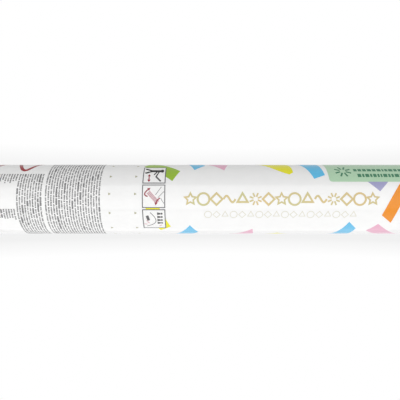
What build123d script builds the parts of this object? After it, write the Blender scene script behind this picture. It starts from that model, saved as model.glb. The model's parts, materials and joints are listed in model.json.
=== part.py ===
from build123d import *

import os
from math import cos, pi, radians, sin, sqrt

# Twist-fired confetti popper, in millimetres. It stands on its base with +Z up to the muzzle,
# and its origin is the centre of the base. Turning the base draws a valve open through a
# helical cam, and the compressed air behind the wad blows the confetti out of the barrel.

# Overall sizes
body_diameter = 50.0
overall_length = 500.0
grip_length = 110.0
twist_gap = 0.6

# Clearances
glue_line = 0.05  # between pieces that are glued, pressed or crimped together
running_clearance = 0.08  # between a piece and the one that it turns or slides on
end_play = 0.2  # along the axis, between faces that turn on each other
loose_clearance = 0.3  # round the load that is blown up the barrel
cut_overrun = 1.0  # how far a cut runs past the face that it leaves

# Paper tubes and their printed wraps
wrap_thickness = 0.25
tube_wall = 1.8

# Base cap
base_flange_thickness = 2.4
base_skirt_length = 16.0
base_skirt_wall = 1.8
base_edge_fillet = 0.8
base_rim_width = 5.0
base_recess_depth = 0.8
arrow_relief = 0.4
arrow_width = 2.4
arrow_sweep = 110.0  # degrees
arrow_count = 2

# Air cylinder, closed by a crimped plug at each end, and the rings that hold it in the tubes
collar_wall = 1.8
collar_length = 18.0
bush_length = 18.0
ring_setback = 2.0  # of the bush and the lower collar from the twist line
upper_collar_setback = 4.0  # below the cylinder's upper rim
cylinder_wall = 1.2
cylinder_length = 172.0
cylinder_height = 66.0  # of its lower rim above the floor
crimp_width = 2.5
seal_section = 2.0
tail_plug_length = 16.0
valve_head_length = 18.0

# Valve, its rod and the seals on them
rod_diameter = 5.0
port_diameter = 16.0
seat_lip_width = 2.0
seat_lip_height = 2.0
seat_gap = 0.05
poppet_overlap = 2.0  # of the poppet beyond the seat lip
poppet_thickness = 5.0
poppet_boss_wall = 2.5
poppet_boss_length = 10.0
poppet_nose_clearance = 2.2  # inside the port
poppet_nose_length = 6.0
poppet_seal_thickness = 2.0
rod_seal_section = 2.4
gland_depth = 9.0
gland_head_overhang = 2.0
gland_head_height = 3.0
fill_hole_diameter = 2.8
fill_head_diameter = 4.0
fill_head_height = 1.0

# Valve spring and what holds it on the rod
spring_length = 24.0
spring_rod_clearance = 2.0
spring_wire = 1.0
spring_turns = 6
spring_washer_overhang = 1.5
spring_washer_thickness = 1.2
clip_thickness = 0.8
clip_reach = 2.3
clip_groove_depth = 0.5

# Twist cam: the cross pin rides in straight slots in the guide and in helical slots in the sleeve
twist_angle = 90.0  # degrees, from rest to fired
valve_travel = 6.0
pin_diameter = 2.5
pin_slot_clearance = 0.15
pin_end_recess = 0.6
pin_depth = 9.0  # of the pin at rest below the sleeve's top
guide_diameter = 20.0
hub_wall = 4.4
hub_length = 32.0
cam_web_thickness = 3.0
cam_rim_wall = 2.0
cam_rim_height = 16.0
cam_rib_thickness = 1.6
cam_rib_height = 8.0
cam_rib_count = 6
cam_rib_root = 0.5
thrust_washer_thickness = 1.0
retaining_ring_thickness = 1.2
retaining_ring_reach = 2.5
retaining_ring_gap = 8.0
retaining_groove_depth = 1.0
guide_tail = 3.0  # below the retaining ring

# Load in the barrel
plate_thickness = 1.5
plate_centre_hole_diameter = 8.0
plate_hole_diameter = 5.0
plate_hole_circle = 22.0
plate_hole_count = 6
wad_height = 12.0
wad_top_thickness = 3.0
wad_wall = 1.6
stack_layers = 4
stacks_per_side = 2
stack_gap = 0.3
cover_thickness = 0.8
headspace = 24.0

# Muzzle cap
cap_flange_thickness = 1.4
cap_edge_fillet = 0.5
cap_plug_length = 10.0
cap_wall = 1.3
cap_inset = 0.1
cap_groove_diameter = 36.0
cap_groove_width = 1.6
cap_groove_depth = 0.4

# Radii and heights that follow from the sizes above
body_radius = body_diameter / 2
tube_radius = body_radius - wrap_thickness - glue_line
bore_radius = tube_radius - tube_wall
seat_radius = bore_radius - glue_line  # of whatever is glued into a tube
load_radius = bore_radius - loose_clearance
barrel_bottom = grip_length + twist_gap
barrel_top = overall_length - cap_flange_thickness - glue_line
cylinder_radius = seat_radius - collar_wall - glue_line
cylinder_bore_radius = cylinder_radius - cylinder_wall
crimp_radius = cylinder_bore_radius - crimp_width
plug_radius = cylinder_bore_radius - glue_line
cylinder_top = cylinder_height + cylinder_length
tail_plug_bottom = cylinder_height + cylinder_wall + glue_line
tail_plug_top = tail_plug_bottom + tail_plug_length
valve_head_top = cylinder_top - cylinder_wall - glue_line
valve_head_bottom = valve_head_top - valve_head_length
rod_radius = rod_diameter / 2
rod_bore_radius = rod_radius + running_clearance
port_radius = port_diameter / 2
seat_lip_radius = port_radius + seat_lip_width
gland_radius = rod_bore_radius + rod_seal_section
gland_bore_radius = gland_radius + glue_line
gland_floor = tail_plug_top - gland_depth
gland_top = tail_plug_top + gland_head_height
guide_radius = guide_diameter / 2
hub_bore_radius = guide_radius + running_clearance
hub_radius = hub_bore_radius + hub_wall
thrust_washer_top = tail_plug_bottom - glue_line
thrust_washer_bottom = thrust_washer_top - thrust_washer_thickness
hub_top = thrust_washer_bottom - end_play
hub_bottom = hub_top - hub_length
retaining_ring_top = hub_bottom - end_play
retaining_ring_bottom = retaining_ring_top - retaining_ring_thickness
guide_bottom = retaining_ring_bottom - guide_tail
pin_height = hub_top - pin_depth
pin_slot_width = pin_diameter + 2 * pin_slot_clearance
spring_bottom = gland_top + glue_line
spring_top = spring_bottom + spring_length
spring_washer_bottom = spring_top + glue_line
clip_bottom = spring_washer_bottom + spring_washer_thickness + glue_line
clip_top = clip_bottom + clip_thickness
seat_height = valve_head_bottom - seat_lip_height
poppet_seal_top = seat_height - seat_gap
poppet_top = poppet_seal_top - poppet_seal_thickness - glue_line
poppet_bottom = poppet_top - poppet_thickness
plate_bottom = cylinder_top + glue_line
wad_bottom = plate_bottom + plate_thickness + loose_clearance
wad_top = wad_bottom + wad_height
cover_top = barrel_top - headspace
cover_bottom = cover_top - cover_thickness


def annulus(outer_radius, inner_radius):
    """Draw a flat ring in the sketch that is open."""
    Circle(outer_radius)
    Circle(inner_radius, mode=Mode.SUBTRACT)


def plain_ring(outer_radius, inner_radius, bottom, top):
    """A round wall about the popper's axis."""
    with BuildPart() as ring:
        with BuildSketch(Plane.XY.offset(bottom)):
            annulus(outer_radius, inner_radius)
        extrude(amount=top - bottom)
    return ring


def split_ring(outer_radius, inner_radius, gap, bottom, top):
    """A spring clip: a flat ring that is open on its -Y side."""
    with BuildPart() as ring:
        with BuildSketch(Plane.XY.offset(bottom)):
            annulus(outer_radius, inner_radius)
            with Locations((0, -(outer_radius + inner_radius) / 2)):
                Rectangle(gap, outer_radius, mode=Mode.SUBTRACT)
        extrude(amount=top - bottom)
    return ring


def o_ring(wall_radius, middle, section):
    """A round seal that lies just inside a wall of that radius."""
    with BuildPart() as seal:
        with BuildSketch(Plane.XZ):
            with Locations((wall_radius - glue_line - section / 2, middle)):
                Circle(section / 2)
        revolve(axis=Axis.Z)
    return seal


def seal_groove(bottom):
    """Outline points of a plug's seal groove, from its lower edge to its upper edge."""
    floor_radius = cylinder_bore_radius - seal_section - 2 * glue_line
    groove_top = bottom + seal_section + 2 * glue_line
    return (
        (plug_radius, bottom),
        (floor_radius, bottom),
        (floor_radius, groove_top),
        (plug_radius, groove_top),
    )


# Grip: the lower tube and its wrap, which turn with the base
grip_bottom = base_flange_thickness + glue_line
grip_tube = plain_ring(tube_radius, bore_radius, grip_bottom, grip_length)
grip_wrap = plain_ring(body_radius, tube_radius + glue_line, grip_bottom, grip_length)

# Base cap: a flanged plug with a shallow recess and two raised twist arrows underneath
recess_radius = body_radius - base_rim_width
arrow_radius = recess_radius / 2
arrow_head_radius = arrow_width
with BuildPart() as base_cap:
    with BuildSketch():
        Circle(body_radius)
    extrude(amount=base_flange_thickness)
    fillet(base_cap.edges().filter_by(GeomType.CIRCLE).group_by(Axis.Z)[0], base_edge_fillet)
    with BuildSketch(Plane.XY.offset(base_flange_thickness)):
        annulus(seat_radius, seat_radius - base_skirt_wall)
    extrude(amount=base_skirt_length)
    with BuildSketch():
        Circle(recess_radius)
    extrude(amount=base_recess_depth, mode=Mode.SUBTRACT)
    with BuildSketch(Plane.XY.offset(base_recess_depth - arrow_relief)):
        for arrow_start in range(0, 360, 360 // arrow_count):
            with BuildLine() as arrow_line:
                CenterArc((0, 0), arrow_radius, arrow_start, arrow_sweep)
            SlotArc(arrow_line.edge(), height=arrow_width)
            arrow_end = arrow_start + arrow_sweep
            with PolarLocations(arrow_radius, 1, start_angle=arrow_end):
                RegularPolygon(arrow_head_radius, side_count=3, rotation=90)
    extrude(amount=arrow_relief)

# Barrel: the upper tube, with the printed wrap outside it
barrel_tube = plain_ring(tube_radius, bore_radius, barrel_bottom, barrel_top)
barrel_wrap = plain_ring(body_radius, tube_radius + glue_line, barrel_bottom, barrel_top)

# Air cylinder: a drawn tube whose ends are rolled in over the two plugs
with BuildPart() as air_cylinder:
    with BuildSketch(Plane.XY.offset(cylinder_height)):
        annulus(cylinder_radius, crimp_radius)
    extrude(amount=cylinder_length)
    with BuildSketch(Plane.XY.offset(cylinder_height + cylinder_wall)):
        Circle(cylinder_bore_radius)
    extrude(amount=cylinder_length - 2 * cylinder_wall, mode=Mode.SUBTRACT)
    outer_rims = air_cylinder.edges().filter_by(GeomType.CIRCLE).group_by(SortBy.RADIUS)[-1]
    fillet(outer_rims, cylinder_wall / 2)

# Tail plug: closes the cylinder below, and carries the guide that the twist base turns on
tail_groove_bottom = tail_plug_bottom + (tail_plug_length - seal_section) / 2
guide_groove_radius = guide_radius - retaining_groove_depth
with BuildPart() as tail_plug:
    with BuildSketch(Plane.XZ):
        with BuildLine():
            Polyline(
                (rod_bore_radius, guide_bottom),
                (guide_radius, guide_bottom),
                (guide_radius, retaining_ring_bottom - glue_line),
                (guide_groove_radius, retaining_ring_bottom - glue_line),
                (guide_groove_radius, retaining_ring_top + glue_line),
                (guide_radius, retaining_ring_top + glue_line),
                (guide_radius, tail_plug_bottom),
                (plug_radius, tail_plug_bottom),
                *seal_groove(tail_groove_bottom),
                (plug_radius, tail_plug_top),
                (gland_bore_radius, tail_plug_top),
                (gland_bore_radius, gland_floor),
                (rod_bore_radius, gland_floor),
                close=True,
            )
        make_face()
    revolve(axis=Axis.Z)
    with BuildSketch(Plane.YZ):
        with Locations((0, pin_height - valve_travel / 2)):
            SlotCenterToCenter(valve_travel, pin_slot_width, rotation=90)
    extrude(amount=guide_radius + cut_overrun, both=True, mode=Mode.SUBTRACT)

tail_o_ring = o_ring(cylinder_bore_radius, tail_groove_bottom + glue_line + seal_section / 2, seal_section)
thrust_washer = plain_ring(hub_radius, hub_bore_radius, thrust_washer_bottom, thrust_washer_top)
retaining_ring = split_ring(
    guide_radius + retaining_ring_reach,
    guide_groove_radius + glue_line,
    retaining_ring_gap,
    retaining_ring_bottom,
    retaining_ring_top,
)

# Gland: a hexagon-headed nut that holds the rod's seal in the tail plug
gland_seal_top = gland_floor + rod_seal_section + 2 * glue_line
rod_o_ring = o_ring(gland_bore_radius, (gland_floor + gland_seal_top) / 2, rod_seal_section)
with BuildPart() as gland_nut:
    with BuildSketch(Plane.XY.offset(gland_seal_top)):
        annulus(gland_radius, rod_bore_radius)
    extrude(amount=gland_top - gland_seal_top)
    with BuildSketch(Plane.XY.offset(tail_plug_top + glue_line)):
        RegularPolygon(gland_radius + gland_head_overhang, side_count=6, major_radius=False)
        Circle(rod_bore_radius, mode=Mode.SUBTRACT)
    extrude(amount=gland_head_height - glue_line)

# Valve head: closes the cylinder above, with the port and the seat lip under it
head_groove_bottom = valve_head_bottom + (valve_head_length - seal_section) / 2
fill_hole_offset = (seat_lip_radius + crimp_radius) / 2
with BuildPart() as valve_head:
    with BuildSketch(Plane.XZ):
        with BuildLine():
            Polyline(
                (port_radius, seat_height),
                (seat_lip_radius, seat_height),
                (seat_lip_radius, valve_head_bottom),
                (plug_radius, valve_head_bottom),
                *seal_groove(head_groove_bottom),
                (plug_radius, valve_head_top),
                (port_radius, valve_head_top),
                close=True,
            )
        make_face()
    revolve(axis=Axis.Z)
    with BuildSketch(Plane.XY.offset(valve_head_bottom)):
        with Locations((0, fill_hole_offset)):
            Circle(fill_hole_diameter / 2)
    extrude(amount=valve_head_length, mode=Mode.SUBTRACT)

head_o_ring = o_ring(cylinder_bore_radius, head_groove_bottom + glue_line + seal_section / 2, seal_section)

# Fill plug: the rubber stopper that the cylinder is charged through
with BuildPart() as fill_plug:
    with BuildSketch(Plane.XY.offset(valve_head_bottom)):
        with Locations((0, fill_hole_offset)):
            Circle(fill_hole_diameter / 2 - glue_line)
    extrude(amount=valve_head_length + glue_line)
    with BuildSketch(Plane.XY.offset(valve_head_top + glue_line)):
        with Locations((0, fill_hole_offset)):
            Circle(fill_head_diameter / 2)
    extrude(amount=fill_head_height)

# Rings that hold the cylinder in the barrel, and the bush that the grip turns on
lower_collar_bottom = barrel_bottom + ring_setback
lower_collar = plain_ring(
    seat_radius, cylinder_radius + glue_line, lower_collar_bottom, lower_collar_bottom + collar_length
)
upper_collar_top = cylinder_top - upper_collar_setback
upper_collar = plain_ring(
    seat_radius, cylinder_radius + glue_line, upper_collar_top - collar_length, upper_collar_top
)
bush_top = grip_length - ring_setback
bearing_bush = plain_ring(seat_radius, cylinder_radius + running_clearance, bush_top - bush_length, bush_top)

# Cam sleeve: glued into the grip, with two helical slots that draw the cross pin down
cam_web_top = hub_bottom + cam_web_thickness
cam_rim_top = hub_bottom + cam_rim_height
cam_rim_bore_radius = seat_radius - cam_rim_wall
slot_radius = (hub_bore_radius + hub_radius) / 2
slot_reach = hub_radius - hub_bore_radius + 2 * cut_overrun
slot_lead = valve_travel * 360 / twist_angle
with BuildLine() as slot_helix:
    Helix(slot_lead, valve_travel, slot_radius, center=(0, 0, pin_height - valve_travel))
with BuildPart() as cam_sleeve:
    with BuildSketch(Plane.XZ):
        with BuildLine():
            Polyline(
                (hub_bore_radius, hub_bottom),
                (seat_radius, hub_bottom),
                (seat_radius, cam_rim_top),
                (cam_rim_bore_radius, cam_rim_top),
                (cam_rim_bore_radius, cam_web_top),
                (hub_radius, cam_web_top),
                (hub_radius, hub_top),
                (hub_bore_radius, hub_top),
                close=True,
            )
        make_face()
    revolve(axis=Axis.Z)
    with BuildSketch(Plane.XY.offset(cam_web_top)):
        with PolarLocations((hub_radius + cam_rim_bore_radius) / 2, cam_rib_count):
            Rectangle(cam_rim_bore_radius - hub_radius + 2 * cam_rib_root, cam_rib_thickness)
    extrude(amount=cam_rib_height)
    for pin_side in (0, 180):
        slot_path = slot_helix.edge().rotate(Axis.Z, pin_side - twist_angle)
        slot_ends = (slot_path @ 0, slot_path @ 1)
        slot_foot = Plane(slot_ends[0], x_dir=(slot_ends[0].X, slot_ends[0].Y, 0), z_dir=slot_path % 0)
        with BuildSketch(slot_foot):
            Rectangle(slot_reach, pin_slot_width)
        sweep(path=slot_path, is_frenet=True, mode=Mode.SUBTRACT)
        for slot_end in slot_ends:
            with BuildSketch(Plane(slot_end, z_dir=(slot_end.X, slot_end.Y, 0))):
                Circle(pin_slot_width / 2)
            extrude(amount=slot_reach / 2, both=True, mode=Mode.SUBTRACT)

# Valve rod, with the cross pin at its foot and the poppet at its head
rod_bottom = pin_height - rod_diameter
rod_top = poppet_bottom + poppet_thickness / 2
with BuildPart() as valve_rod:
    with BuildSketch(Plane.XY.offset(rod_bottom)):
        Circle(rod_radius)
    extrude(amount=rod_top - rod_bottom)
    with BuildSketch(Plane.XY.offset(clip_bottom - glue_line)):
        annulus(rod_radius + cut_overrun, rod_radius - clip_groove_depth)
    extrude(amount=clip_thickness + 2 * glue_line, mode=Mode.SUBTRACT)
    with BuildSketch(Plane.YZ):
        with Locations((0, pin_height)):
            Circle(pin_diameter / 2 + glue_line)
    extrude(amount=rod_radius + cut_overrun, both=True, mode=Mode.SUBTRACT)

pin_reach = hub_radius - pin_end_recess
pin_chamfer = pin_diameter / 8
with BuildPart() as cross_pin:
    with BuildSketch(Plane.YZ):
        with Locations((0, pin_height)):
            Circle(pin_diameter / 2)
    extrude(amount=pin_reach, both=True)
    chamfer(cross_pin.edges().filter_by(GeomType.CIRCLE), pin_chamfer)

rod_hole_radius = rod_radius + glue_line
boss_radius = rod_hole_radius + poppet_boss_wall
poppet_radius = seat_lip_radius + poppet_overlap
nose_radius = port_radius - poppet_nose_clearance
nose_tip_radius = nose_radius / 2
with BuildPart() as poppet:
    with BuildSketch(Plane.XZ):
        with BuildLine():
            Polyline(
                (rod_hole_radius, poppet_bottom - poppet_boss_length),
                (boss_radius, poppet_bottom - poppet_boss_length),
                (boss_radius, poppet_bottom),
                (poppet_radius, poppet_bottom),
                (poppet_radius, poppet_top),
                (nose_radius, poppet_top),
                (nose_radius, poppet_seal_top),
                (nose_tip_radius, poppet_top + poppet_nose_length),
                (0, poppet_top + poppet_nose_length),
                (0, rod_top + glue_line),
                (rod_hole_radius, rod_top + glue_line),
                close=True,
            )
        make_face()
    revolve(axis=Axis.Z)

poppet_seal = plain_ring(poppet_radius, nose_radius + glue_line, poppet_top + glue_line, poppet_seal_top)

# Valve spring: one length of wire, its turns made of arcs that follow a helix
coil_radius = rod_radius + spring_rod_clearance + spring_wire / 2
coil_bottom = spring_bottom + spring_wire / 2
coil_pitch = (spring_length - spring_wire) / spring_turns
quarter_turns = 4 * spring_turns


def coil_point(quarter):
    """Point and direction of the spring's centreline after that many quarter turns."""
    angle = quarter * pi / 2
    point = Vector(coil_radius * cos(angle), coil_radius * sin(angle), coil_bottom + coil_pitch * quarter / 4)
    along = Vector(-coil_radius * sin(angle), coil_radius * cos(angle), coil_pitch / (2 * pi))
    return point, along.normalized()


def biarc_joint(start, start_along, end, end_along):
    """Where two arcs meet that leave start and reach end in the given directions."""
    chord = end - start
    along_sum = start_along + end_along
    spread = 2 * (1 - start_along.dot(end_along))
    lean = chord.dot(along_sum)
    reach = (sqrt(lean**2 + spread * chord.dot(chord)) - lean) / spread
    return (start + start_along * reach + end - end_along * reach) / 2


with BuildPart() as valve_spring:
    with BuildLine() as coil_path:
        for quarter in range(quarter_turns):
            arc_start, start_along = coil_point(quarter)
            arc_end, end_along = coil_point(quarter + 1)
            joint = biarc_joint(arc_start, start_along, arc_end, end_along)
            first_arc = TangentArc(arc_start, joint, tangent=start_along)
            TangentArc(joint, arc_end, tangent=first_arc % 1)
    coil_start, coil_start_along = coil_point(0)
    with BuildSketch(Plane(coil_start, z_dir=coil_start_along)):
        Circle(spring_wire / 2)
    sweep(path=coil_path.wires()[0])

# The spring's least gap to itself is measured between neighbouring turns
turn_points = [coil_point(step / 4)[0] for step in range(4 * quarter_turns)]
one_turn = len(turn_points) // spring_turns
near_turns = [
    (first - second).length
    for place, first in enumerate(turn_points)
    for second in turn_points[place + one_turn // 2 :]
]
print("spring: least gap between turns", round(min(near_turns) - spring_wire, 2), "mm")

spring_washer = plain_ring(
    coil_radius + spring_wire / 2 + spring_washer_overhang,
    rod_radius + glue_line,
    spring_washer_bottom,
    spring_washer_bottom + spring_washer_thickness,
)
clip_bore_radius = rod_radius - clip_groove_depth + glue_line
clip_radius = rod_radius + clip_reach
spring_clip = split_ring(clip_radius, clip_bore_radius, 2 * clip_bore_radius, clip_bottom, clip_top)

# Blast plate: spreads the air, and carries the load at rest
with BuildPart() as blast_plate:
    with BuildSketch(Plane.XY.offset(plate_bottom)):
        Circle(seat_radius)
        Circle(plate_centre_hole_diameter / 2, mode=Mode.SUBTRACT)
        with PolarLocations(plate_hole_circle / 2, plate_hole_count):
            Circle(plate_hole_diameter / 2, mode=Mode.SUBTRACT)
    extrude(amount=plate_thickness)

# Wad: a cup that is open towards the air, like a piston
with BuildPart() as piston_wad:
    with BuildSketch(Plane.XY.offset(wad_bottom)):
        Circle(load_radius)
    extrude(amount=wad_height)
    with BuildSketch(Plane.XY.offset(wad_bottom)):
        Circle(load_radius - wad_wall)
    extrude(amount=wad_height - wad_top_thickness, mode=Mode.SUBTRACT)

# Confetti: square stacks of paper slips, four to a layer, that fill the bore
slip_width = (load_radius * sqrt(2) - (stacks_per_side - 1) * stack_gap) / stacks_per_side
stack_pitch = slip_width + stack_gap
layer_height = (cover_bottom - stack_gap - wad_top) / stack_layers
slip_length = layer_height - stack_gap
confetti_stacks = []
for layer in range(stack_layers):
    stack_plane = Plane.XY.offset(wad_top + stack_gap + layer * layer_height)
    places = GridLocations(stack_pitch, stack_pitch, stacks_per_side, stacks_per_side).local_locations
    for place in places:
        with BuildPart() as confetti_stack:
            with BuildSketch(stack_plane):
                with Locations(place):
                    Rectangle(slip_width, slip_width)
            extrude(amount=slip_length)
        confetti_stacks.append(confetti_stack)

with BuildPart() as cover_disc:
    with BuildSketch(Plane.XY.offset(cover_bottom)):
        Circle(load_radius)
    extrude(amount=cover_thickness)

# Muzzle cap: a shallow cup pushed into the barrel, with a pressed ring in its face
cap_plug_radius = bore_radius - running_clearance
cap_flange_bottom = barrel_top + glue_line
cap_groove_radius = cap_groove_diameter / 2
with BuildPart() as muzzle_cap:
    with BuildSketch(Plane.XY.offset(cap_flange_bottom)):
        Circle(body_radius - cap_inset)
    extrude(amount=cap_flange_thickness)
    fillet(muzzle_cap.edges().filter_by(GeomType.CIRCLE).group_by(Axis.Z)[-1], cap_edge_fillet)
    with BuildSketch(Plane.XY.offset(cap_flange_bottom)):
        annulus(cap_plug_radius, cap_plug_radius - cap_wall)
    extrude(amount=-cap_plug_length)
    with BuildSketch(Plane.XY.offset(overall_length)):
        annulus(cap_groove_radius, cap_groove_radius - cap_groove_width)
    extrude(amount=-cap_groove_depth, mode=Mode.SUBTRACT)

pieces = {
    "grip_tube": grip_tube,
    "grip_wrap": grip_wrap,
    "base_cap": base_cap,
    "barrel_tube": barrel_tube,
    "barrel_wrap": barrel_wrap,
    "air_cylinder": air_cylinder,
    "tail_plug": tail_plug,
    "tail_o_ring": tail_o_ring,
    "thrust_washer": thrust_washer,
    "retaining_ring": retaining_ring,
    "rod_o_ring": rod_o_ring,
    "gland_nut": gland_nut,
    "valve_head": valve_head,
    "head_o_ring": head_o_ring,
    "fill_plug": fill_plug,
    "lower_collar": lower_collar,
    "upper_collar": upper_collar,
    "bearing_bush": bearing_bush,
    "cam_sleeve": cam_sleeve,
    "valve_rod": valve_rod,
    "cross_pin": cross_pin,
    "poppet": poppet,
    "poppet_seal": poppet_seal,
    "valve_spring": valve_spring,
    "spring_washer": spring_washer,
    "spring_clip": spring_clip,
    "blast_plate": blast_plate,
    "piston_wad": piston_wad,
    "cover_disc": cover_disc,
    "muzzle_cap": muzzle_cap,
}
for number, confetti_stack in enumerate(confetti_stacks, start=1):
    pieces[f"confetti_stack_{number:02d}"] = confetti_stack

os.makedirs("parts", exist_ok=True)
for name, piece in pieces.items():
    piece.part.label = name
    export_step(piece.part, f"parts/{name}.step")
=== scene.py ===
import json
import math
import random

import bmesh
import bpy
from bpy.props import FloatProperty, FloatVectorProperty, IntProperty, PointerProperty
from bpy.types import NodeSocket, Operator, Panel, PropertyGroup
from mathutils import Matrix, Vector


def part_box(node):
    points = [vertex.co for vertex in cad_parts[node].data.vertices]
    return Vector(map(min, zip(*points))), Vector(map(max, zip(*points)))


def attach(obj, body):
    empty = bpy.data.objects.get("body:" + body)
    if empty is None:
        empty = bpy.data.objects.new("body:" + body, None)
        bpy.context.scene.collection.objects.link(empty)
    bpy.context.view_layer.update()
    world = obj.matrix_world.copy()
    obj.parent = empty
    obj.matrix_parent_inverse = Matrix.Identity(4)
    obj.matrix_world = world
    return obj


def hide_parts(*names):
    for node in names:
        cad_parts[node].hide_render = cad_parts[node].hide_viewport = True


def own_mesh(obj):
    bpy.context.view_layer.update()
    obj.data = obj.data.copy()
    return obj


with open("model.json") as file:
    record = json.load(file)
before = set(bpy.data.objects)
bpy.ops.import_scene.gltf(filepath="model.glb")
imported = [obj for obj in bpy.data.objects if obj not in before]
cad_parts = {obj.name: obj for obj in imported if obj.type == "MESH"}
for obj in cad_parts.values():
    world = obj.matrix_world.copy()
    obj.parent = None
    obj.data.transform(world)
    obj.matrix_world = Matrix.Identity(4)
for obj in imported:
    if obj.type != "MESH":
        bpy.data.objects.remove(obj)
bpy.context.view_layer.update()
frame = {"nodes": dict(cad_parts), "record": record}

bl_info = {
    "name": "Confetti popper",
    "version": (1, 0, 0),
    "blender": (4, 5, 0),
    "location": "3D View > Sidebar > Popper",
    "description": "Dresses a twist-fired confetti popper and sets up its studio",
    "category": "Object",
}

# Lengths in the layout tables below are millimetres, and turns are degrees
MM = 0.001
FULL_TURN = 360
RIGHT_ANGLE = 90
BODY_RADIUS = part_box("barrel_wrap")[1].x
ROUND_WRAP = 2 * math.pi * BODY_RADIUS / MM

# The print is laid out flat, as (along, arc): along runs up the popper from its base, and arc runs
# round the wrap from the front, towards -X. Turns are from the popper's axis.

# Layers of print, from the paper up. The barrel's foil is as high as the panels, and the grip's print is all
# in the first layer.
SLIP_LAYER, PANEL_LAYER, MARK_LAYER, TOP_LAYER = range(1, 5)

# Straight slips: ink, one corner, and the length and turn of the two edges that leave that corner
STRAIGHT_SLIPS = (
    ("leaf", (281.2, 12.8), (10.7, 61), (26.0, 142)),
    ("lemon", (279.9, -21.4), (8.8, -147), (25.0, 115)),
    ("blue", (296.2, 23.5), (10.6, 44), (26.0, 111)),
    ("pink", (316.9, 23.2), (9.6, 73), (24.0, 136)),
    ("lavender", (421.2, 5.3), (10.0, 47), (24.0, 137)),
    ("blue", (293.0, -20.0), (10.9, -58), (24.0, -123)),
    ("pink", (336.6, -24.2), (10.0, -81), (22.0, -138)),
    ("lemon", (354.8, -31.4), (10.0, -36), (22.0, -140)),
    ("pink", (422.4, -18.6), (10.0, -128), (28.0, -42)),
)
# Bent slips: ink, and the two long edges, each as a start, a control point and an end
BENT_SLIPS = (
    ("lemon", ((361.5, 18.6), (347.5, 24.0), (334.0, 48.0)), ((364.2, 20.6), (365.0, 36.0), (352.0, 50.0))),
    ("blue", ((377.8, 14.6), (374.5, 25.0), (366.5, 44.0)), ((385.7, 18.0), (384.4, 28.0), (382.5, 44.0))),
    ("blue", ((402.1, -16.6), (396.2, -29.1), (390.2, -41.6)),
     ((408.3, -23.5), (405.7, -36.0), (403.1, -48.5))),
    ("orange", ((423.1, -11.3), (428.8, 5.2), (444.4, 21.7)), ((430.6, -17.6), (433.8, -1.1), (446.8, 15.4))),
)
# A narrow wavy streamer: the place of a trough, and the pitch, height and span of its waves
STREAMER_TROUGH = (178.5, 23.1)
STREAMER_PITCH = 26.0
STREAMER_HEIGHT = 21.0
STREAMER_SPAN = (-1.5, 0.5)

# Loose slips over the rest of the paper: their size, how far apart their middles are, and how many are tried
SCATTER_INKS = ("blue", "pink", "leaf", "orange", "lemon", "lavender")
SCATTER_LENGTHS = (16.0, 21.0)
SCATTER_WIDTHS = (7.5, 10.0)
SCATTER_SPACING = 19.5
SCATTER_TRIES = 900
BARREL_SEED = 7
GRIP_SEED = 3
# Stretches of the barrel and of the grip that hold other print: lowest and highest along, and arcs
BARREL_PRINT = (
    (149.0, 449.0, -40.0, 40.0),
    (255.0, 449.0, -57.0, 57.0),
    (174.0, 235.0, -63.0, 63.0),
    (136.0, 194.0, 20.0, 46.0),
    (236.5, 241.5, -79.0, 79.0),
    (254.0, 259.0, -79.0, 79.0),
)
GRIP_PRINT = ((11.0, 17.0, -79.0, 79.0), (51.0, 65.0, -79.0, 79.0), (99.0, 105.0, -79.0, 79.0))

# Blocks of fine ticks: first line, pitch, count, start and end of the lines, and how ragged the ends are
TICK_SEED = 11
TICK_BLOCKS = (
    (177.0, 1.763, 10, 19.1, -58.0, 5.0),
    (196.3, 1.796, 21, 61.0, -60.0, 5.0),
    (153.4, 1.79, 13, 19.1, 11.0, 3.5),
    (156.9, 1.78, 11, -6.7, -15.5, 3.0),
)
# Ticks: their lengths and how far they reach below and above the line, the gaps between them, the lengths
# of their groups, and the gaps between groups
TICK_LENGTHS = (0.4, 0.95)
TICK_FALLS = (0.4, 0.52)
TICK_RISES = (0.34, 0.6)
TICK_GAPS = (0.1, 0.38)
TICK_GROUPS = (1.6, 7.5)
TICK_GROUP_GAPS = (0.4, 0.75)
# Bold groups among them: their share, how much taller they are, and the gaps between their ticks
BOLD_SHARE = 0.09
BOLD_HEIGHT = 1.3
BOLD_GAPS = (0.06, 0.12)

# Rows of small foil triangles, and how many go round the wrap
TRIANGLE_ALONGS = (238.9, 256.3)
TRIANGLES_ROUND = 12
TRIANGLE_FIRST_ARC = 3.5

# The row of foil ornaments and the pale row below it
FOIL_SPAN = (289.2, 420.5)
FOIL_ARC = 0.05
FOIL_ROW = (
    "star", "ring", "diamond", "wave", "triangle", "burst", "diamond", "star",
    "ring", "triangle", "wave", "burst", "diamond", "ring", "star",
)
PALE_SPAN = (302.5, 406.7)
PALE_ARC = -10.75
PALE_ROW = ("ring", "diamond", "triangle") * 6
# Ornaments of one even line: how many corners it has, and the turn of the first
LINE_ORNAMENTS = {"ring": (28, 0), "diamond": (4, 0), "triangle": (3, RIGHT_ANGLE)}
# Shares of the other ornaments: a star's inner corners, a burst's rays, a wave's height, and the strokes of
# stars and bursts
STAR_POINTS = 5
STAR_INNER_SHARE = 0.5
BURST_RAYS = 8
BURST_RAY_SHARES = (0.4, 1.1)
WAVE_SHARE = 0.55
SPIKY_STROKE_SHARE = 0.8

# Framed pictograms, which read upwards along the barrel: where their middles are
FRAME_ALONG = 268.8
FRAME_ARCS = {"hold": 19.0, "twist": 2.0, "clear": -15.0}
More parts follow.
